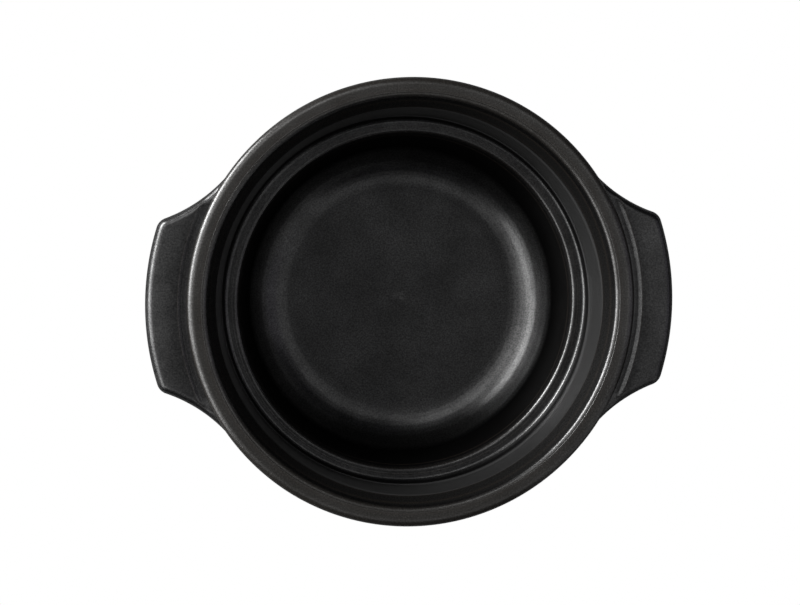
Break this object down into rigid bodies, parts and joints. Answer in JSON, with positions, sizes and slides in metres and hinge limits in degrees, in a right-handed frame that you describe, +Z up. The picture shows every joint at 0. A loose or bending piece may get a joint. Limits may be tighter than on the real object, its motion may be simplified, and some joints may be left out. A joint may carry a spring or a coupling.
{
  "type": "clay cooking pot",
  "caption": "Open round clay cooking pot with a bevelled lid seat, an inner ledge for a steaming plate, a low foot ring and flat wing handles.",
  "frame": {"origin": "centre of the foot ring's underside, on the surface that the pot stands on", "axes": "+X through the handles, +Z up out of the pot's mouth"},
  "size_m": [0.3012, 0.255, 0.108],
  "materials": {
    "black_glaze": "satin black glaze, rubbed dark brown where it thins over edges and on the lid seat",
    "raw_clay": "unglazed dark clay, fine grit"
  },
  "bodies": {
    "root": {"pot_body": "black_glaze", "left_handle": "black_glaze", "right_handle": "black_glaze", "foot_ring": "raw_clay"}
  },
  "joints": []
}
